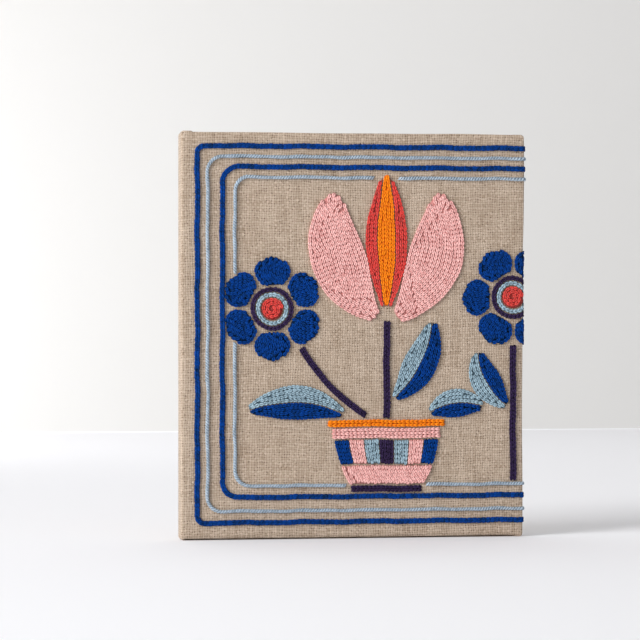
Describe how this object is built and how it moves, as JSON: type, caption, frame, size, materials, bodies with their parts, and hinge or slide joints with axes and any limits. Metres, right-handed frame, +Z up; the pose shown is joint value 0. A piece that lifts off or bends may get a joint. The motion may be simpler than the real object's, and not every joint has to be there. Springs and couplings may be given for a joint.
{
  "type": "yarn painting on stretcher frame",
  "caption": "Flowers in a pot filled with rows of chain-stitched wool inside a lined border, on linen stretched over a hidden wooden frame; stands on its bottom side.",
  "frame": {"origin": "middle of the bottom side, on the surface that the piece stands on", "axes": "+Z up, -Y out of the stitched front, +X to the right as one looks at the front"},
  "size_m": [0.3074, 0.0249, 0.3571],
  "materials": {
    "linen": "natural, unbleached plain-woven linen",
    "pine": "planed and unfinished",
    "royal_blue": "matt wool yarn in chain-stitched rows",
    "light_blue": "matt wool yarn in chain-stitched rows",
    "aubergine": "matt wool yarn in chain-stitched rows",
    "pink": "matt wool yarn in chain-stitched rows",
    "red": "matt wool yarn in chain-stitched rows",
    "orange": "matt wool yarn in chain-stitched rows"
  },
  "bodies": {
    "root": {"bar_bottom": "pine", "bar_left": "pine", "bar_right": "pine", "bar_top": "pine", "border_1": "royal_blue", "border_2": "light_blue", "border_3": "royal_blue", "border_4_lower_left": "light_blue", "border_4_lower_right": "light_blue", "border_4_top_left": "light_blue", "border_4_top_right": "light_blue", "edge_leaf_bottom": "royal_blue", "edge_leaf_top": "light_blue", "far_left_leaf_bottom": "royal_blue", "far_left_leaf_top": "light_blue", "left_flower_disc": "red", "left_flower_halo": "light_blue", "left_flower_outline": "aubergine", "left_flower_petal_1": "royal_blue", "left_flower_petal_2": "royal_blue", "left_flower_petal_3": "royal_blue", "left_flower_petal_4": "royal_blue", "left_flower_petal_5": "royal_blue", "left_flower_petal_6": "royal_blue", "left_stem": "aubergine", "linen": "linen", "low_right_leaf_bottom": "royal_blue", "low_right_leaf_top": "light_blue", "main_leaf_bottom": "royal_blue", "main_leaf_top": "light_blue", "main_stem": "aubergine", "pot_block_1": "royal_blue", "pot_block_2": "pink", "pot_block_3": "light_blue", "pot_block_4": "aubergine", "pot_block_5": "light_blue", "pot_block_6": "pink", "pot_block_7": "royal_blue", "pot_foot": "aubergine", "pot_lower": "pink", "pot_rim": "orange", "pot_upper": "pink", "right_flower_disc": "red", "right_flower_halo": "light_blue", "right_flower_outline": "aubergine", "right_flower_petal_1": "royal_blue", "right_flower_petal_2": "royal_blue", "right_flower_petal_3": "royal_blue", "right_flower_petal_4": "royal_blue", "right_flower_petal_5": "royal_blue", "right_flower_petal_6": "royal_blue", "right_stem": "aubergine", "tulip_heart": "orange", "tulip_left_edge": "red", "tulip_left_petal": "pink", "tulip_right_edge": "red", "tulip_right_petal": "pink"}
  },
  "joints": []
}
